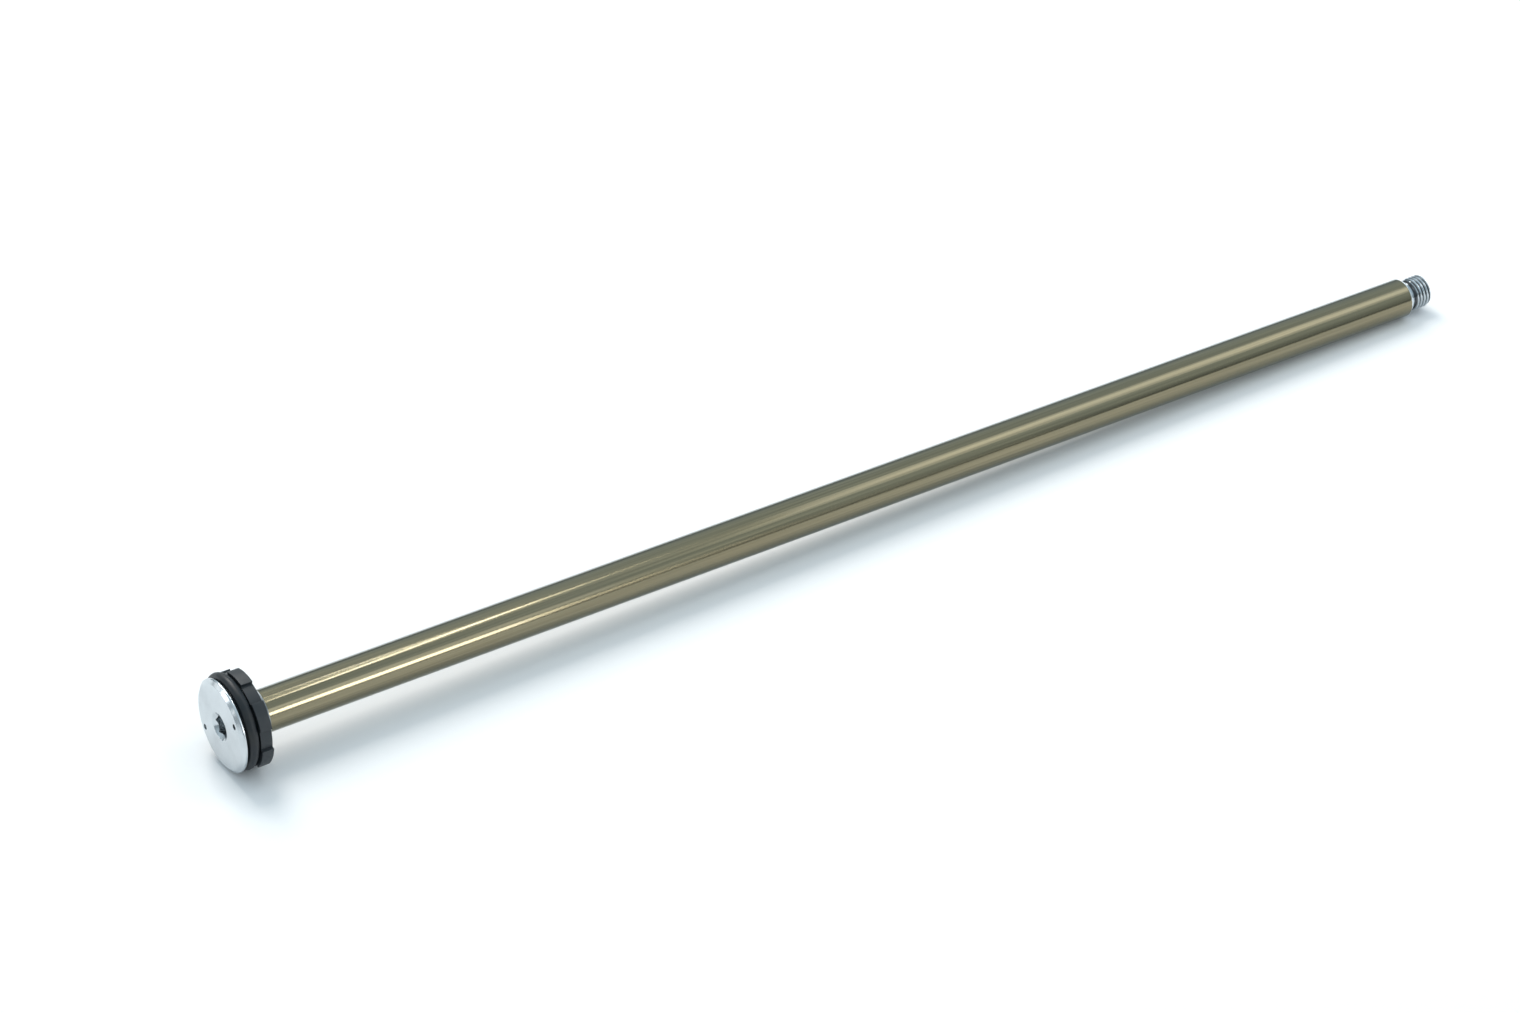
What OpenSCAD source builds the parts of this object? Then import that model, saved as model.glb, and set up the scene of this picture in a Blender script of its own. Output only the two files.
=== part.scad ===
// Piston rod assembly: a hollow rod with a sealed piston on one end and a threaded foot on the other.
// The rod's axis is X. The origin is the centre of the piston's front face, at the mouth of its hex
// socket, and +X runs along the rod towards the threaded foot. +Z is up. All sizes are millimetres.

/* [Rod] */
// Outer diameter of the rod tube
rod_d = 12; // [12:0.5:14]
// Bore of the rod tube
rod_bore_d = 8; // [7.5:0.25:8.5]
// Distance from the piston's face to the tube's far end
rod_end_x = 408.5; // [150:0.5:600]

/* [Piston head] */
// Diameter of the piston's rim
piston_d = 26.3; // [26:0.1:26.8]
// Diameter of the flat face inside the rim's chamfer
face_d = 23.8; // [23:0.1:25]
// Length of the rim's chamfer along the axis
rim_chamfer = 0.9; // [0.5:0.1:1.1]
// Thickness of the disc in front of the seal groove
disc_t = 1.4; // [1.2:0.1:1.6]
// Diameter of the groove floor under the O-ring and the guide ring
groove_floor_d = 20.2; // [20:0.1:20.4]
// Distance from the piston's face to the rear end of the groove
groove_end_x = 9.05; // [9.05:0.05:9.6]
// Size of the hex key socket, across its flats
socket_af = 6; // [5:0.5:6]
// Depth of the hex socket
socket_depth = 4.6; // [3:0.1:5]
// Diameter of the socket's countersunk mouth
socket_mouth_d = 8.16; // [7.5:0.02:9]
// Diameter of the two small face holes
face_hole_d = 1.6; // [1:0.1:1.8]
// Diameter of the circle that the two face holes lie on
face_hole_pcd = 20.6; // [18:0.1:21]
// Angle from straight up to the first face hole, towards -Y
face_hole_angle = 58; // [0:1:179]
// Depth of the two face holes
face_hole_depth = 2; // [1:0.1:3]

/* [Piston seal] */
// Outer diameter of the piston's O-ring
o_ring_d = 27.2; // [27:0.1:27.4]
// Thickness of the O-ring's round section
o_ring_section = 3.1; // [3:0.05:3.1]
// Distance from the piston's face to the middle of the O-ring
o_ring_x = 3.6; // [3:0.05:3.7]
// How far the loose O-ring is pushed off the piston's axis, as when the piston lies on its side
o_ring_lift = 0.42; // [0:0.01:0.5]

/* [Guide ring] */
// Diameter over the guide ring's teeth
guide_d = 27.3; // [27.2:0.05:27.6]
// Diameter at the bottom of the notches between the teeth
guide_notch_d = 25.6; // [24.5:0.1:26]
// Width of the guide ring along the axis
guide_w = 3.4; // [3:0.1:3.4]
// Distance from the piston's face to the guide ring's front
guide_x = 5.5; // [5.4:0.05:5.5]
// Number of teeth round the guide ring
guide_teeth = 6; // [4:1:8]
// Angle that each notch spans
notch_angle = 26; // [15:1:30]
// Angle from straight up to the middle of the first tooth, towards -Y
tooth_phase = 56; // [0:1:59]
// Radial running clearance between the guide ring and the groove floor
guide_clearance = 0.08; // [0.05:0.01:0.1]

/* [Retaining collar] */
// Diameter of the collar's flange, which closes the groove
collar_flange_d = 21.4; // [21:0.1:22]
// Thickness of the collar's flange
collar_flange_t = 0.7; // [0.6:0.05:1]
// Diameter of the collar's cone where it leaves the flange
collar_cone_d = 17; // [16.5:0.5:19]
// Diameter of the collar's rear end, against the rod tube
collar_tail_d = 14; // [13.6:0.1:15]
// Distance from the piston's face to the collar's rear end
collar_end_x = 11.7; // [11.4:0.1:12.5]

/* [Foot stud] */
// Major diameter of the foot's thread
thread_d = 10; // [9.5:0.5:10.5]
// Diameter of the undercut between the cone and the thread
undercut_d = 8.7; // [8:0.1:9]
// Length of the cone that runs down from the rod
cone_l = 2.7; // [2:0.1:3.5]
// Length of the undercut along the axis
undercut_l = 0.6; // [0.4:0.1:1]
// Length of full thread
thread_l = 5; // [3:0.5:20]
// Length of the chamfer on the tip
tip_chamfer = 0.5; // [0.3:0.1:0.7]

/* [Inner stems and seals] */
// Length of the stem that each end fitting has inside the tube
stem_l = 14; // [12:0.5:20]
// Thickness of the inner seals' round section
inner_section = 1.5; // [1.2:0.1:1.8]
// How much wider than its seal each stem's groove is
seal_groove_play = 0.5; // [0.3:0.1:1]

/* [Hidden] */

$fn = 128;
section_fn = 48;
// Clearance between a stem and the tube or the collar round it
gap = 0.02;
// How deep an inner seal sits into the groove floor and the tube's wall, together
squeeze = 0.05;
// How far a cutting solid runs past the face that it cuts
overrun = 1;

rod_r = rod_d / 2;
bore_r = rod_bore_d / 2;
stem_r = bore_r - gap;
piston_r = piston_d / 2;
floor_r = groove_floor_d / 2;
mouth_r = socket_mouth_d / 2;
undercut_r = undercut_d / 2;

// Along the axis: the tube starts behind the collar, and each stem has its seal at mid length.
rod_start_x = collar_end_x;
head_stem_end_x = rod_start_x + stem_l;
foot_stem_start_x = rod_end_x - stem_l;
head_seal_x = rod_start_x + stem_l / 2;
foot_seal_x = rod_end_x - stem_l / 2;
undercut_x = rod_end_x + cone_l;
thread_x = undercut_x + undercut_l;
thread_end_x = thread_x + thread_l;
tip_x = thread_end_x + tip_chamfer;

// Colours
anodised = [0.47, 0.44, 0.34];
bright = [0.83, 0.85, 0.87];
rubber = [0.08, 0.09, 0.10];
slate = [0.17, 0.20, 0.23];

// A solid turned about the X axis. Each point of the outline is [radius, distance along X].
module turned(outline) {
    rotate([0, 90, 0]) rotate_extrude() polygon(outline);
}

// A ring of round section about the X axis, centred at x.
module o_ring(outer_r, section, x) {
    translate([x, 0, 0]) rotate([0, 90, 0]) rotate_extrude()
        translate([outer_r - section / 2, 0]) circle(d = section, $fn = section_fn);
}

// The part of a stem's outline that is the groove of the seal at x.
function seal_groove(x) = let (
    half_w = (inner_section + seal_groove_play) / 2,
    groove_r = bore_r - inner_section + squeeze
) [[stem_r, x - half_w], [groove_r, x - half_w], [groove_r, x + half_w], [stem_r, x + half_w]];

module rod_tube() {
    color(anodised) turned([
        [bore_r, rod_start_x], [rod_r, rod_start_x], [rod_r, rod_end_x], [bore_r, rod_end_x]
    ]);
}

// The hex socket, with one flat straight up, and its conical mouth.
module hex_socket() {
    corner_r = socket_af / 2 / cos(30);
    rotate([0, 90, 0]) {
        translate([0, 0, -overrun]) rotate([0, 0, 30])
            cylinder(r = corner_r, h = socket_depth + overrun, $fn = 6);
        translate([0, 0, -gap]) cylinder(r1 = mouth_r + gap, r2 = gap, h = mouth_r);
    }
}

// The two small holes, opposite each other.
module face_holes() {
    for (turn = [0, 180])
        rotate([face_hole_angle + turn, 0, 0]) translate([-overrun, 0, face_hole_pcd / 2])
            rotate([0, 90, 0]) cylinder(d = face_hole_d, h = face_hole_depth + overrun);
}

// The piston: a disc, the floor of the groove behind it and the stem that plugs the tube.
module piston_head() {
    color(bright) difference() {
        turned(concat(
            [[0, 0], [face_d / 2, 0], [piston_r, rim_chamfer], [piston_r, disc_t],
             [floor_r, disc_t], [floor_r, groove_end_x], [stem_r, groove_end_x]],
            seal_groove(head_seal_x),
            [[stem_r, head_stem_end_x], [0, head_stem_end_x]]
        ));
        hex_socket();
        face_holes();
    }
}

module piston_o_ring() {
    color(rubber) translate([0, 0, o_ring_lift]) o_ring(o_ring_d / 2, o_ring_section, o_ring_x);
}

// The castellated guide ring. Its notches are cut straight through its width.
module guide_ring() {
    guide_r = guide_d / 2;
    notch_r = guide_notch_d / 2;
    color(slate) translate([guide_x, 0, 0]) rotate([0, 90, 0]) difference() {
        cylinder(r = guide_r, h = guide_w);
        translate([0, 0, -overrun]) cylinder(r = floor_r + guide_clearance, h = guide_w + 2 * overrun);
        for (i = [0 : guide_teeth - 1])
            rotate([0, 0, 180 + tooth_phase + (i + 0.5) * 360 / guide_teeth - notch_angle / 2])
                rotate_extrude(angle = notch_angle)
                    translate([notch_r, -overrun])
                        square([guide_r - notch_r + overrun, guide_w + 2 * overrun]);
    }
}

// The collar is clamped between the piston and the tube, and its flange closes the groove.
module retaining_collar() {
    flange_end_x = groove_end_x + collar_flange_t;
    color(bright) turned([
        [bore_r, groove_end_x], [collar_flange_d / 2, groove_end_x],
        [collar_flange_d / 2, flange_end_x], [collar_cone_d / 2, flange_end_x],
        [collar_tail_d / 2, collar_end_x], [bore_r, collar_end_x]
    ]);
}

// A stem seal, squeezed between its groove and the tube's bore.
module stem_seal(x) {
    color(rubber) o_ring(bore_r + squeeze / 2, inner_section, x);
}

// The foot: a stem that plugs the tube, a cone down from the rod, an undercut and the thread's envelope.
module foot_stud() {
    color(bright) turned(concat(
        [[0, foot_stem_start_x], [stem_r, foot_stem_start_x]],
        seal_groove(foot_seal_x),
        [[stem_r, rod_end_x], [rod_r, rod_end_x], [undercut_r, undercut_x], [undercut_r, thread_x],
         [thread_d / 2, thread_x], [thread_d / 2, thread_end_x], [undercut_r, tip_x], [0, tip_x]]
    ));
}

rod_tube();
piston_head();
piston_o_ring();
guide_ring();
retaining_collar();
stem_seal(head_seal_x);  // head_stem_seal
foot_stud();
stem_seal(foot_seal_x);  // foot_stem_seal
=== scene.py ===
"""Looks for the piston rod assembly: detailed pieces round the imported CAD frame, floor, lights and camera.

The rod's axis is X. The origin is the centre of the piston's front face and +Z is up. Blender works in
metres, and lengths that are written here in millimetres are multiplied by MM.
"""
import math

import bmesh
import bpy
from mathutils import Matrix, Vector


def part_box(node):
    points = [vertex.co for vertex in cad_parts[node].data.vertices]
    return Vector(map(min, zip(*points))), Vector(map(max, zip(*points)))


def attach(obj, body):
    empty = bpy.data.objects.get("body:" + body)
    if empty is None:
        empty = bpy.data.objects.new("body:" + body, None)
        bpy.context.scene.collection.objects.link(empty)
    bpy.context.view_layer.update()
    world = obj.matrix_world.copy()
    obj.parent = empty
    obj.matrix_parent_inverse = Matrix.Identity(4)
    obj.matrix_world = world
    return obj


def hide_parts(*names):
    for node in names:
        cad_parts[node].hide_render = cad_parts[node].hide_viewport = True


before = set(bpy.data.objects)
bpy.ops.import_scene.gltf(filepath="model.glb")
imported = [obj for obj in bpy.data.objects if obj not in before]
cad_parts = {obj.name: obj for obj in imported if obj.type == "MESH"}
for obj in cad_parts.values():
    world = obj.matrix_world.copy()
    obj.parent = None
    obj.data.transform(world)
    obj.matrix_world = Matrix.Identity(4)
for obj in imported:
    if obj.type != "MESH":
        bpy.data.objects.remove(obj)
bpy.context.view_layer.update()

MM = 0.001
COLUMNS = 192

# Sizes that the CAD boxes give.
rod_low, rod_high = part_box("rod_tube")
head_low, head_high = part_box("piston_head")
seal_low, seal_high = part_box("piston_o_ring")
guide_low, guide_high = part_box("guide_ring")
collar_low, collar_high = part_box("retaining_collar")
foot_low, foot_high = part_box("foot_stud")
ROD_R = rod_high.y
RIM_R = head_high.y
GUIDE_R = guide_high.z
FLANGE_R = collar_high.y

# Sizes inside those boxes, as in the CAD source.
BORE_R = 4.0 * MM
STEM_R = 3.98 * MM
STEM_L = 14.0 * MM
STEM_GROOVE_R = 2.55 * MM
STEM_GROOVE_W = 2.0 * MM
FACE_R = 11.9 * MM
RIM_CHAMFER = 0.9 * MM
DISC_T = 1.4 * MM
GROOVE_FLOOR_R = 10.1 * MM
SOCKET_AF = 6.0 * MM
SOCKET_DEPTH = 4.6 * MM
MOUTH_R = 4.08 * MM
HOLE_R = 0.8 * MM
HOLE_CIRCLE_R = 10.3 * MM
HOLE_ANGLE = math.radians(58)
HOLE_DEPTH = 2.0 * MM
GUIDE_BORE_R = 10.18 * MM
NOTCH_R = 12.8 * MM
TEETH = 6
NOTCH_ANGLE = math.radians(26)
TOOTH_PHASE = math.radians(56)
FLANGE_T = 0.7 * MM
COLLAR_CONE_R = 8.5 * MM
COLLAR_TAIL_R = 7.0 * MM
UNDERCUT_R = 4.35 * MM
CONE_L = 2.7 * MM
UNDERCUT_L = 0.6 * MM
TIP_CHAMFER = 0.5 * MM
THREAD_R = 5.0 * MM
THREAD_PITCH = 1.25 * MM
THREAD_DEPTH = 0.65 * MM


# ---------------------------------------------------------------- mesh helpers

def rounded(outline, closed=False):
    """Outline points (x, r, fillet) as plain (x, r) points, with an arc at each corner with a fillet."""
    points = []
    count = len(outline)
    for i, (x, r, fillet) in enumerate(outline):
        corner = Vector((x, r))
        if fillet == 0 or (not closed and i in (0, count - 1)):
            points.append(corner)
            continue
        before = Vector(outline[i - 1][:2]) - corner
        after = Vector(outline[(i + 1) % count][:2]) - corner
        into, out = before.normalized(), after.normalized()
        half = into.angle(out) / 2
        reach = min(fillet / math.tan(half), 0.45 * before.length, 0.45 * after.length)
        radius = reach * math.tan(half)
        centre = corner + (into + out).normalized() * (radius / math.sin(half))
        start, end = corner + into * reach - centre, corner + out * reach - centre
        turn = start.angle_signed(end)
        steps = max(2, math.ceil(abs(turn) / math.radians(18)))
        for k in range(steps + 1):
            angle = -turn * k / steps
            points.append(centre + Matrix.Rotation(angle, 2) @ start)
    return [(p.x, p.y) for p in points]


def with_holding_rows(points, closed=False):
    """Adds a point near both ends of each long straight stretch, so that shading stays flat along it."""
    hold, long = 0.08 * MM, 0.5 * MM
    made = []
    count = len(points)
    for i in range(count if closed else count - 1):
        a, b = Vector(points[i]), Vector(points[(i + 1) % count])
        made.append(tuple(a))
        span = (b - a).length
        if span > long:
            made.append(tuple(a.lerp(b, hold / span)))
            made.append(tuple(a.lerp(b, 1 - hold / span)))
    if not closed:
        made.append(points[-1])
    return made


def turned_point(x, r, angle):
    """A point at radius r, at an angle from straight up towards -Y, which is a right-hand turn about +X."""
    return (x, -r * math.sin(angle), r * math.cos(angle))


def ring(bm, columns, place):
    """One closed ring of vertices, or one vertex on the axis; place(angle) gives each vertex's (x, r)."""
    angles = [2 * math.pi * j / columns for j in range(columns)]
    if place(0)[1] == 0:
        return [bm.verts.new((place(0)[0], 0, 0))]
    return [bm.verts.new(turned_point(*place(a), a)) for a in angles]


def bridge(bm, ring_a, ring_b):
    """Faces between two neighbouring rings."""
    count = max(len(ring_a), len(ring_b))
    for j in range(count):
        k = (j + 1) % count
        corners = []
        for v in (ring_a[j % len(ring_a)], ring_a[k % len(ring_a)],
                  ring_b[k % len(ring_b)], ring_b[j % len(ring_b)]):
            if v not in corners:
                corners.append(v)
        bm.faces.new(corners)


def stack(bm, places, columns=COLUMNS, closed=False):
    """Adds rings joined in order. Each place is an (x, r) point or a function of the angle that gives one."""
    rings = [ring(bm, columns, p if callable(p) else (lambda a, p=p: p)) for p in places]
    for a, b in zip(rings, rings[1:]):
        bridge(bm, a, b)
    if closed:
        bridge(bm, rings[-1], rings[0])


def finish_mesh(bm, name, sharp_deg=28):
    """Turns bm into an object with outward normals, smooth faces and sharp edges above an angle."""
    bmesh.ops.remove_doubles(bm, verts=bm.verts, dist=1e-7)
    bmesh.ops.recalc_face_normals(bm, faces=bm.faces)
    mesh = bpy.data.meshes.new(name)
    bm.to_mesh(mesh)
    bm.free()
    obj = bpy.data.objects.new(name, mesh)
    bpy.context.scene.collection.objects.link(obj)
    shade(obj, sharp_deg)
    return obj


def shade(obj, sharp_deg=28):
    obj.data.shade_smooth()
    obj.data.set_sharp_from_angle(angle=math.radians(sharp_deg))


def weight_normals(obj):
    modifier = obj.modifiers.new("flat_faces_stay_flat", "WEIGHTED_NORMAL")
    modifier.keep_sharp = True
    modifier.weight = 100


def lathe(name, outline):
    """A turned ring from a closed outline of points (x, r, fillet)."""
    bm = bmesh.new()
    stack(bm, with_holding_rows(rounded(outline, closed=True), closed=True), closed=True)
    obj = finish_mesh(bm, name)
    weight_normals(obj)
    return obj


def cut_away(obj, cutters):
    """Cuts each cutter out of obj and removes the cutter."""
    for cutter in cutters:
        modifier = obj.modifiers.new("cut", "BOOLEAN")
        modifier.operation = "DIFFERENCE"
        modifier.solver = "EXACT"
        modifier.object = cutter
    bpy.context.view_layer.update()
    graph = bpy.context.evaluated_depsgraph_get()
    cut = bpy.data.meshes.new_from_object(obj.evaluated_get(graph))
    obj.modifiers.clear()
    whole = obj.data
    obj.data = cut
    bpy.data.meshes.remove(whole)
    cut.name = obj.name
    for cutter in cutters:
        bpy.data.meshes.remove(cutter.data)
    shade(obj)


# ---------------------------------------------------------------- node helpers

def new_material(name):
    """A material with an empty node tree, and its Principled shader."""
    material = bpy.data.materials.new(name)
    material.use_nodes = True
    tree = material.node_tree
    tree.nodes.clear()
    output = tree.nodes.new("ShaderNodeOutputMaterial")
    shader = tree.nodes.new("ShaderNodeBsdfPrincipled")
    tree.links.new(shader.outputs["BSDF"], output.inputs["Surface"])
    return material, tree, shader


def stretched_place(tree, scale):
    """Object coordinates, scaled apart along each axis."""
    coordinates = tree.nodes.new("ShaderNodeTexCoord")
    mapping = tree.nodes.new("ShaderNodeMapping")
    mapping.inputs["Scale"].default_value = scale
    tree.links.new(coordinates.outputs["Object"], mapping.inputs["Vector"])
    return mapping.outputs["Vector"]


def noise(tree, place, scale, detail=4.0, roughness=0.55):
    node = tree.nodes.new("ShaderNodeTexNoise")
    node.inputs["Scale"].default_value = scale
    node.inputs["Detail"].default_value = detail
    node.inputs["Roughness"].default_value = roughness
    tree.links.new(place, node.inputs["Vector"])
    return node.outputs["Fac"]


def spread(tree, value, low, high, to_low, to_high):
    """value mapped from low..high to to_low..to_high, and held inside that range."""
    node = tree.nodes.new("ShaderNodeMapRange")
    for socket, number in zip(("From Min", "From Max", "To Min", "To Max"), (low, high, to_low, to_high)):
        node.inputs[socket].default_value = number
    tree.links.new(value, node.inputs["Value"])
    return node.outputs["Result"]


def combine(tree, operation, a, b):
    node = tree.nodes.new("ShaderNodeMath")
    node.operation = operation
    for socket, value in zip(node.inputs, (a, b)):
        if isinstance(value, (int, float)):
            socket.default_value = value
        else:
            tree.links.new(value, socket)
    return node.outputs["Value"]


def blend_colours(tree, factor, a, b):
    """A mix of two colours, each a tuple or another node's output."""
    node = tree.nodes.new("ShaderNodeMix")
    node.data_type = "RGBA"
    tree.links.new(factor, node.inputs["Factor"])
    for socket, value in zip((node.inputs[6], node.inputs[7]), (a, b)):
        if isinstance(value, tuple):
            socket.default_value = (*value, 1)
        else:
            tree.links.new(value, socket)
    return node.outputs[2]


def add_bump(tree, shader, height, distance):
    node = tree.nodes.new("ShaderNodeBump")
    node.inputs["Distance"].default_value = distance
    tree.links.new(height, node.inputs["Height"])
    tree.links.new(node.outputs["Normal"], shader.inputs["Normal"])


def distance_from_axis(tree):
    """The radius about the X axis, in millimetres."""
    coordinates = tree.nodes.new("ShaderNodeTexCoord")
    parts = tree.nodes.new("ShaderNodeSeparateXYZ")
    tree.links.new(coordinates.outputs["Object"], parts.inputs["Vector"])
    y2 = combine(tree, "MULTIPLY", parts.outputs["Y"], parts.outputs["Y"])
    z2 = combine(tree, "MULTIPLY", parts.outputs["Z"], parts.outputs["Z"])
    root = combine(tree, "SQRT", combine(tree, "ADD", y2, z2), 0)
    return combine(tree, "MULTIPLY", root, 1 / MM)


# ---------------------------------------------------------------- materials

def bronze_anodised():
    """Hard anodised bronze with lengthwise drawing lines under a clear, glossy layer."""
    material, tree, shader = new_material("bronze_anodised")
    lines = noise(tree, stretched_place(tree, (6, 900, 900)), 2.2, 5)
    fine = noise(tree, stretched_place(tree, (14, 3200, 3200)), 1.6, 3)
    cloud = noise(tree, stretched_place(tree, (30, 90, 90)), 1.0, 2)
    pale, deep, clouded = (0.255, 0.218, 0.132), (0.192, 0.163, 0.096), (0.200, 0.182, 0.118)
    base = blend_colours(tree, spread(tree, lines, 0.35, 0.65, 0, 1), deep, pale)
    tinted = blend_colours(tree, spread(tree, cloud, 0.3, 0.7, 0, 0.35), base, clouded)
    tree.links.new(tinted, shader.inputs["Base Color"])
    tree.links.new(spread(tree, lines, 0.3, 0.7, 0.14, 0.20), shader.inputs["Roughness"])
    add_bump(tree, shader, combine(tree, "ADD", lines, fine), 0.0002 * MM)
    shader.inputs["Metallic"].default_value = 1.0
    shader.inputs["Specular Tint"].default_value = (0.7, 0.76, 0.8, 1)
    shader.inputs["Coat Weight"].default_value = 0.5
    shader.inputs["Coat Roughness"].default_value = 0.05
    shader.inputs["Coat IOR"].default_value = 1.5
    return material


def turned_aluminium(name, brightness, polish, worn_roughness, painted_root_shade=None):
    """Bare aluminium with fine concentric tool marks and faint handling smudges.

    The optional last argument gives two radii in millimetres: the metal is painted dark below the first, as
    painted shade in the thread roots and the undercut, and is clean beyond the second.
    """
    material, tree, shader = new_material(name)
    radius = distance_from_axis(tree)
    mark_spacing = 0.16
    marks = combine(tree, "SINE", combine(tree, "MULTIPLY", radius, 2 * math.pi / mark_spacing), 0)
    grain = noise(tree, stretched_place(tree, (400, 400, 400)), 3.0, 5, 0.65)
    smudge = noise(tree, stretched_place(tree, (90, 90, 90)), 1.3, 4, 0.6)
    fresh = (0.91 * brightness, 0.965 * brightness, brightness)
    worn = tuple(0.87 * part for part in fresh)
    base = blend_colours(tree, spread(tree, smudge, 0.38, 0.68, 0, 1), fresh, worn)
    # Painted shade: below the first radius, which takes in the thread roots and the undercut, the metal is
    # painted dark.
    if painted_root_shade:
        root_shade_colour = (0.07, 0.075, 0.08)
        base = blend_colours(tree, spread(tree, radius, *painted_root_shade, 0, 1), root_shade_colour, base)
    tree.links.new(base, shader.inputs["Base Color"])
    tree.links.new(spread(tree, smudge, 0.3, 0.7, polish, worn_roughness), shader.inputs["Roughness"])
    height = combine(tree, "ADD", combine(tree, "MULTIPLY", marks, 0.35), grain)
    add_bump(tree, shader, height, 0.0008 * MM)
    shader.inputs["Metallic"].default_value = 1.0
    return material


def seal_rubber():
    """Black nitrile rubber with a thin, patchy film of grease and dust."""
    material, tree, shader = new_material("seal_rubber")
    film = noise(tree, stretched_place(tree, (160, 160, 160)), 1.4, 5, 0.6)
    grain = noise(tree, stretched_place(tree, (1500, 1500, 1500)), 1.5, 3)
    clean, dusty = (0.002, 0.006, 0.010), (0.022, 0.022, 0.020)
    base = blend_colours(tree, spread(tree, film, 0.45, 0.72, 0, 0.7), clean, dusty)
    tree.links.new(base, shader.inputs["Base Color"])
    tree.links.new(spread(tree, film, 0.35, 0.7, 0.38, 0.58), shader.inputs["Roughness"])
    add_bump(tree, shader, combine(tree, "ADD", film, grain), 0.004 * MM)
    shader.inputs["Specular IOR Level"].default_value = 0.45
    return material


def slate_plastic():
    """Dark slate guide-ring plastic, slightly mottled, with fine moulding grain and a painted highlight along
    its sharp edges.
    """
    material, tree, shader = new_material("slate_plastic")
    mottle = noise(tree, stretched_place(tree, (260, 260, 260)), 1.6, 4, 0.6)
    grain = noise(tree, stretched_place(tree, (1800, 1800, 1800)), 1.5, 3)
    geometry = tree.nodes.new("ShaderNodeNewGeometry")
    # Painted highlight: the sharp edges, found by pointiness, are painted lighter.
    edge = spread(tree, geometry.outputs["Pointiness"], 0.52, 0.60, 0, 0.35)
    dark, light, painted_edge_highlight = (0.009, 0.014, 0.018), (0.015, 0.020, 0.024), (0.05, 0.055, 0.06)
    body = blend_colours(tree, spread(tree, mottle, 0.35, 0.7, 0, 1), dark, light)
    base = blend_colours(tree, edge, body, painted_edge_highlight)
    tree.links.new(base, shader.inputs["Base Color"])
    tree.links.new(spread(tree, mottle, 0.3, 0.7, 0.42, 0.54), shader.inputs["Roughness"])
    add_bump(tree, shader, combine(tree, "ADD", mottle, grain), 0.003 * MM)
    shader.inputs["Specular IOR Level"].default_value = 0.45
    return material


def studio_white():
    """Matt white paper with barely visible fibre."""
    material, tree, shader = new_material("studio_white")
    fibre = noise(tree, stretched_place(tree, (300, 300, 300)), 2.0, 3)
    tree.links.new(
        blend_colours(tree, fibre, (0.88, 0.88, 0.88), (0.90, 0.90, 0.90)), shader.inputs["Base Color"])
    shader.inputs["Roughness"].default_value = 0.9
    shader.inputs["Specular IOR Level"].default_value = 0.2
    return material


# ---------------------------------------------------------------- pieces

def place_piece(obj, body, slot, material, *nodes):
    """Dresses a new piece with its material, ties it to its body and hides the CAD nodes that it stands for;
    the record slot is not used.
    """
    obj.data.materials.clear()
    obj.data.materials.append(material)
    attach(obj, body)
    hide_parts(*nodes)


def make_rod():
    edge = 0.12 * MM
    outline = [
        (rod_low.x, BORE_R, 0), (rod_low.x, ROD_R, edge),
        (rod_high.x, ROD_R, edge), (rod_high.x, BORE_R, 0),
    ]
    return lathe("rod_tube_drawn", outline)


def hex_radius(angle):
    """Distance from the axis to the hex socket's wall; one flat is straight up."""
    from_flat = (angle + math.radians(30)) % math.radians(60) - math.radians(30)
    return SOCKET_AF / 2 / math.cos(from_flat)


def socket_places():
    """Rings from the middle of the socket's floor, up its six walls and out along the conical mouth."""
    floor_break = 0.12 * MM
    lip = 0.06 * MM
    places = [(SOCKET_DEPTH, 0), (SOCKET_DEPTH, SOCKET_AF / 4)]
    places.append(lambda a: (SOCKET_DEPTH, hex_radius(a) - floor_break))
    places.append(lambda a: (SOCKET_DEPTH - floor_break, hex_radius(a)))
    for share in (0.33, 0.66, 0.94):
        places.append(lambda a, s=share: (
            SOCKET_DEPTH + (MOUTH_R - hex_radius(a) - SOCKET_DEPTH) * s, hex_radius(a)))
    for share in (0, 0.08, 0.5, 0.92):
        places.append(lambda a, s=share: (
            (MOUTH_R - hex_radius(a)) * (1 - s), hex_radius(a) + (MOUTH_R - hex_radius(a)) * s))
    places.append((0.3 * lip, MOUTH_R - 0.1 * lip))
    places.append((0, MOUTH_R + lip))
    return places


def make_head():
    """The piston: hex socket, face, chamfered rim, groove floor and the stem inside the tube."""
    collar_x = collar_low.x
    stem_end = head_high.x
    socket_edge = MOUTH_R + 0.5 * MM
    seal_x = rod_low.x + STEM_L / 2
    groove = STEM_GROOVE_W / 2
    outline = [
        (0, socket_edge, 0), (0, FACE_R, 0.35 * MM), (RIM_CHAMFER, RIM_R, 0.35 * MM),
        (DISC_T, RIM_R, 0.08 * MM), (DISC_T, GROOVE_FLOOR_R, 0.2 * MM),
        (collar_x, GROOVE_FLOOR_R, 0.1 * MM), (collar_x, STEM_R, 0),
        (seal_x - groove, STEM_R, 0.1 * MM), (seal_x - groove, STEM_GROOVE_R, 0.1 * MM),
        (seal_x + groove, STEM_GROOVE_R, 0.1 * MM), (seal_x + groove, STEM_R, 0.1 * MM),
        (stem_end, STEM_R, 0.3 * MM), (stem_end, 0, 0),
    ]
    bm = bmesh.new()
    stack(bm, socket_places() + with_holding_rows(rounded(outline)))
    head = finish_mesh(bm, "piston_head_turned")
    cut_away(head, [hole_cutter(HOLE_ANGLE), hole_cutter(HOLE_ANGLE + math.pi)])
    weight_normals(head)
    return head


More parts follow.
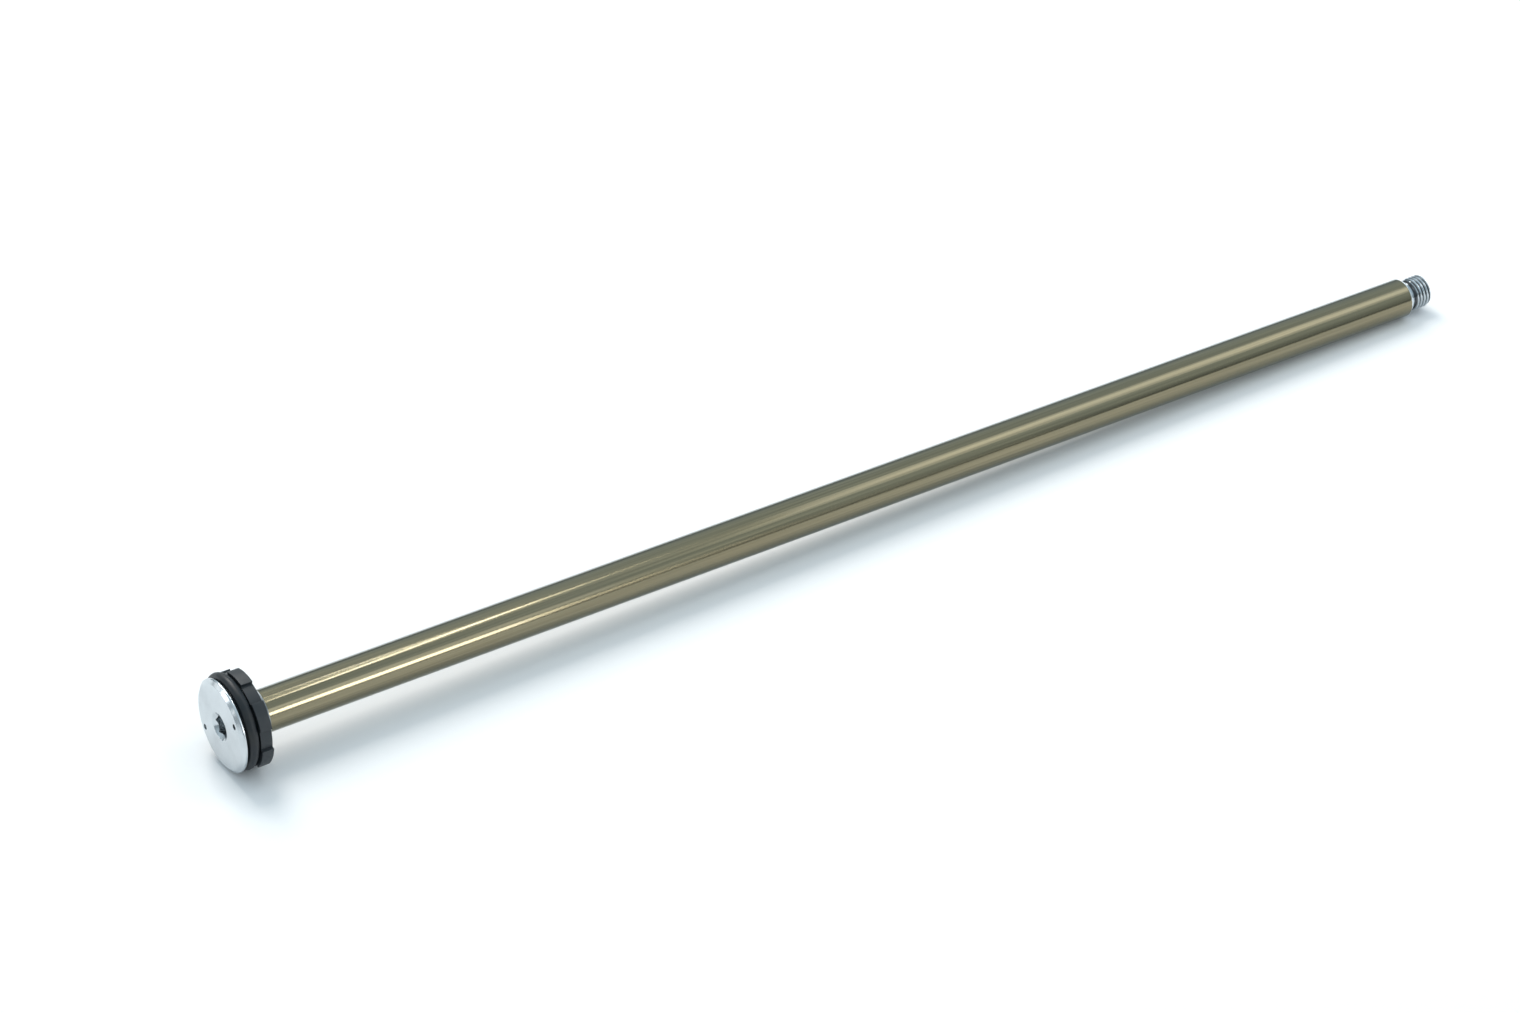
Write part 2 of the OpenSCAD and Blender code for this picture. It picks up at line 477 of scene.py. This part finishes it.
def hole_cutter(angle):
    """A cutter for one face hole, with a small countersink at its mouth."""
    flare = 0.06 * MM
    above = 0.5 * MM
    bm = bmesh.new()
    stack(bm, [(-above, 0), (-above, HOLE_R + flare), (0, HOLE_R + flare), (flare, HOLE_R),
               (HOLE_DEPTH, HOLE_R), (HOLE_DEPTH, 0)], columns=48)
    cutter = finish_mesh(bm, "hole_cutter")
    cutter.data.transform(Matrix.Translation(turned_point(0, HOLE_CIRCLE_R, angle)))
    return cutter


def make_o_ring():
    """A round-section ring with the faint mould line that runs round its outside."""
    section_r = (seal_high.x - seal_low.x) / 2
    ring_r = seal_high.y - section_r
    middle = (seal_low + seal_high) / 2
    mould_line = 0.02 * MM
    steps = 40
    bm = bmesh.new()
    places = []
    for k in range(steps):
        turn = 2 * math.pi * k / steps
        swell = section_r + (mould_line if k == 0 else 0)
        places.append((middle.x + swell * math.sin(turn), ring_r - mould_line + swell * math.cos(turn)))
    stack(bm, places, closed=True)
    seal = finish_mesh(bm, "piston_o_ring_moulded", sharp_deg=60)
    seal.data.transform(Matrix.Translation((0, 0, middle.z)))
    return seal


def make_guide_ring():
    """The castellated ring: a band with a block for each tooth, and small bevels on every edge."""
    bm = bmesh.new()
    sides = (guide_low.x, guide_high.x)
    pitch = 2 * math.pi / TEETH
    notch_steps, tooth_steps = 8, 12

    def column(angle, *radii):
        return [[bm.verts.new(turned_point(x, r, angle)) for r in radii] for x in sides]

    angles = []
    for i in range(TEETH):
        start = TOOTH_PHASE + (i + 0.5) * pitch - NOTCH_ANGLE / 2
        angles += [(start + NOTCH_ANGLE * k / notch_steps, False) for k in range(notch_steps)]
        tooth = pitch - NOTCH_ANGLE
        angles += [(start + NOTCH_ANGLE + tooth * k / tooth_steps, True) for k in range(tooth_steps)]
    count = len(angles)
    band = [column(a, GUIDE_BORE_R, NOTCH_R) for a, _ in angles]
    top = {}
    for j, (a, in_tooth) in enumerate(angles):
        if in_tooth or angles[j - 1][1]:
            top[j] = [bm.verts.new(turned_point(x, GUIDE_R, a)) for x in sides]
    for j, (_, in_tooth) in enumerate(angles):
        k = (j + 1) % count
        for side in (0, 1):
            bm.faces.new((band[j][side][0], band[j][side][1], band[k][side][1], band[k][side][0]))
        bm.faces.new((band[j][0][0], band[k][0][0], band[k][1][0], band[j][1][0]))
        if in_tooth:
            bm.faces.new((top[j][0], top[k][0], top[k][1], top[j][1]))
            for side in (0, 1):
                bm.faces.new((band[j][side][1], top[j][side], top[k][side], band[k][side][1]))
        else:
            bm.faces.new((band[j][0][1], band[k][0][1], band[k][1][1], band[j][1][1]))
        if in_tooth != angles[j - 1][1]:
            bm.faces.new((band[j][0][1], top[j][0], top[j][1], band[j][1][1]))
    bmesh.ops.recalc_face_normals(bm, faces=bm.faces)
    edges = [e for e in bm.edges if e.calc_face_angle(0) > math.radians(40)]
    moulded_edge = 0.1 * MM
    bmesh.ops.bevel(bm, geom=edges, offset=moulded_edge, segments=2, profile=0.5, affect="EDGES")
    guide = finish_mesh(bm, "guide_ring_moulded")
    weight_normals(guide)
    return guide


def make_collar():
    edge = 0.12 * MM
    flange_x = collar_low.x + FLANGE_T
    outline = [
        (collar_low.x, BORE_R, 0), (collar_low.x, FLANGE_R, edge), (flange_x, FLANGE_R, edge),
        (flange_x, COLLAR_CONE_R, 0.3 * MM), (collar_high.x, COLLAR_TAIL_R, edge),
        (collar_high.x, BORE_R, 0),
    ]
    return lathe("retaining_collar_turned", outline)


def thread_radius(step, steps):
    """Radius of the thread's surface at a step of its pitch: crest, flank, root and flank."""
    crest, root, flank = steps / 8, steps / 4, steps * 5 / 16
    down = (step - crest) / flank
    up = (steps - step) / flank
    depth = max(0.0, min(1.0, down, up))
    assert crest + root + 2 * flank == steps
    return THREAD_R - THREAD_DEPTH * depth


def make_foot():
    """The foot: stem, cone, undercut and a real right-hand helical thread."""
    undercut_x = rod_high.x + CONE_L
    thread_x = undercut_x + UNDERCUT_L
    tip_x = foot_high.x
    seal_x = rod_high.x - STEM_L / 2
    groove = STEM_GROOVE_W / 2
    outline = [
        (foot_low.x, 0, 0), (foot_low.x, STEM_R, 0.3 * MM), (seal_x - groove, STEM_R, 0.1 * MM),
        (seal_x - groove, STEM_GROOVE_R, 0.1 * MM), (seal_x + groove, STEM_GROOVE_R, 0.1 * MM),
        (seal_x + groove, STEM_R, 0.1 * MM), (rod_high.x, STEM_R, 0),
        (rod_high.x, ROD_R - 0.06 * MM, 0.06 * MM),
        (undercut_x, UNDERCUT_R, 0.3 * MM), (thread_x, UNDERCUT_R, 0),
    ]
    columns, steps = 128, 16
    bm = bmesh.new()
    stack(bm, with_holding_rows(rounded(outline)), columns)

    lead_in = 0.45 * MM
    rise = THREAD_R - UNDERCUT_R

    def limit(x):
        start = UNDERCUT_R + rise * (x - thread_x) / lead_in
        end = UNDERCUT_R + rise * (tip_x - x) / TIP_CHAMFER
        return min(start, end)

    turns = 1 + math.ceil((tip_x - thread_x) / THREAD_PITCH)
    grid = []
    for j in range(columns):
        angle = 2 * math.pi * j / columns
        line = []
        for k in range(turns * steps + 1):
            along = thread_x + (k / steps - 1 + j / columns) * THREAD_PITCH
            x = min(max(along, thread_x), tip_x)
            radius = min(thread_radius(k % steps, steps), limit(x))
            line.append(bm.verts.new(turned_point(x, radius, angle)))
        grid.append(line)
    # One turn on, each row meets the row that starts a whole pitch further along.
    last = turns * steps
    for j in range(columns):
        for k in range(last):
            if j + 1 < columns:
                far = (grid[j + 1][k], grid[j + 1][k + 1])
            else:
                far = (grid[0][min(k + steps, last)], grid[0][min(k + 1 + steps, last)])
            if far[0] is not far[1]:
                bm.faces.new((grid[j][k], grid[j][k + 1], far[1], far[0]))
            else:
                bm.faces.new((grid[j][k], grid[j][k + 1], far[0]))
    stack(bm, [(tip_x, UNDERCUT_R), (tip_x, UNDERCUT_R - 0.1 * MM), (tip_x, 1 * MM), (tip_x, 0)], columns)
    return finish_mesh(bm, "foot_stud_threaded", sharp_deg=24)


bronze = bronze_anodised()
# Painted light and shade: one turned aluminium is made in two copies, duller (0.66) for the head and collar,
# whose face reflects shaded floor, and brighter (0.82) for the foot, which is brightly lit.
aluminium = turned_aluminium("turned_aluminium", 0.66, 0.18, 0.27)
thread_aluminium = turned_aluminium("threaded_aluminium", 0.82, 0.10, 0.18, painted_root_shade=(4.4, 4.9))
rubber = seal_rubber()
slate = slate_plastic()
place_piece(make_rod(), "piston_rod", "bronze_anodised_aluminium", bronze, "rod_tube")
place_piece(make_head(), "piston_rod", "turned_aluminium", aluminium, "piston_head")
place_piece(make_o_ring(), "piston_rod", "seal_rubber", rubber, "piston_o_ring")
place_piece(make_guide_ring(), "guide_ring", "slate_plastic", slate, "guide_ring")
place_piece(make_collar(), "piston_rod", "turned_aluminium", aluminium, "retaining_collar")
place_piece(make_foot(), "piston_rod", "turned_aluminium", thread_aluminium, "foot_stud")
for hidden in ("head_stem_seal", "foot_stem_seal"):
    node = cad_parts[hidden]
    node.data.materials.clear()
    node.data.materials.append(rubber)


# ---------------------------------------------------------------- floor, lights and camera

# The part lies on a guide-ring tooth and on the far edge of the rod, so the floor is tilted under it.
front_contact = Vector((guide_high.x, 0, guide_low.z))
rear_contact = Vector((rod_high.x, 0, -ROD_R))
along = (rear_contact - front_contact).normalized()
floor_up = along.cross(Vector((0, 1, 0))).normalized()
if floor_up.z < 0:
    floor_up.negate()
floor_turn = Vector((0, 0, 1)).rotation_difference(floor_up)


def make_floor():
    half = 4.0
    mesh = bpy.data.meshes.new("studio_floor")
    corners = [(-half, -half, 0), (half, -half, 0), (half, half, 0), (-half, half, 0)]
    mesh.from_pydata(corners, [], [(0, 1, 2, 3)])
    floor = bpy.data.objects.new("studio_floor", mesh)
    bpy.context.scene.collection.objects.link(floor)
    floor.matrix_world = Matrix.Translation(front_contact) @ floor_turn.to_matrix().to_4x4()
    mesh.materials.append(studio_white())


def add_panel(name, place_mm, along, aim_mm, size_mm, radiance, colour):
    """A rectangular soft light with its first side along a direction; radiance 1 looks white."""
    light = bpy.data.lights.new(name, "AREA")
    light.shape = "RECTANGLE"
    light.size, light.size_y = size_mm[0] * MM, size_mm[1] * MM
    light.color = colour
    light.energy = radiance * math.pi * light.size * light.size_y
    place = Vector(place_mm) * MM
    side = Vector(along).normalized()
    away = place - Vector(aim_mm) * MM
    back = (away - side * away.dot(side)).normalized()
    panel = bpy.data.objects.new(name, light)
    axes = Matrix((side, back.cross(side), back)).transposed()
    panel.matrix_world = Matrix.Translation(place) @ axes.to_4x4()
    bpy.context.scene.collection.objects.link(panel)


def make_world():
    """A soft, cool room that is darker towards the horizon."""
    world = bpy.data.worlds.new("soft_room")
    world.use_nodes = True
    tree = world.node_tree
    background = tree.nodes["Background"]
    coordinates = tree.nodes.new("ShaderNodeTexCoord")
    parts = tree.nodes.new("ShaderNodeSeparateXYZ")
    tree.links.new(coordinates.outputs["Generated"], parts.inputs["Vector"])
    height = spread(tree, parts.outputs["Z"], 0.0, 0.5, 0, 1)
    sky = blend_colours(tree, height, (0.22, 0.26, 0.28), (0.76, 0.91, 1.0))
    tree.links.new(sky, background.inputs["Color"])
    background.inputs["Strength"].default_value = 0.84
    bpy.context.scene.world = world


def make_camera():
    place = Vector((-375.2, -793.6, 653.7)) * MM
    target = Vector((171.9, 8.0, 10.0)) * MM
    back = (place - target).normalized()
    # The camera is rolled by about one degree, as the photo is.
    level = Vector((-0.0179, 0, 1))
    right = level.cross(back).normalized()
    up = back.cross(right)
    camera = bpy.data.cameras.new("camera")
    camera.sensor_width = 36
    camera.lens = 97.9
    camera.shift_x, camera.shift_y = 0.0078, -0.0132
    camera.clip_start, camera.clip_end = 0.01, 50
    holder = bpy.data.objects.new("camera", camera)
    axes = Matrix((right, up, back)).transposed()
    holder.matrix_world = Matrix.Translation(place) @ axes.to_4x4()
    bpy.context.scene.collection.objects.link(holder)
    bpy.context.scene.camera = holder


make_floor()
make_world()
white, sunny = (1.0, 1.0, 1.0), (1.0, 0.95, 0.90)
add_panel("key_behind", (150, 870, 1200), (1, 0, 0), (150, 0, 0), (500, 900), 9.8, sunny)
add_panel("tube_behind", (431, 135, 900), (102, -210, 0), (150, 0, 0), (234, 24), 10, white)
add_panel("tube_above", (436, -55, 900), (128, 230, 0), (150, 0, 0), (264, 34), 14, white)
add_panel("panel_right", (960, -260, 900), (1, 0, 0), (300, 0, 0), (560, 640), 0.7, white)
add_panel("panel_right_core", (960, -260, 890), (1, 0, 0), (300, 0, 0), (560, 260), 0.75, white)
add_panel("fill_near", (560, -1270, 780), (1, 0, 0), (60, 0, 0), (560, 420), 0.9, white)
add_panel("window_near", (640, -1500, 350), (1, 0, 0), (100, 0, 0), (300, 380), 8, white)
add_panel("window_back", (-1210, 700, 300), (0.5, 0.87, 0), (0, 0, 0), (430, 320), 2.4, white)
add_panel("window_far_back", (-900, 1072, 170), (0.77, 0.64, 0), (0, 0, 0), (420, 300), 1.0, white)
add_panel("window_left", (-1400, 160, 190), (0, 1, 0), (0, 0, 0), (170, 170), 1.6, white)
make_camera()
bpy.context.scene.view_settings.view_transform = "Standard"
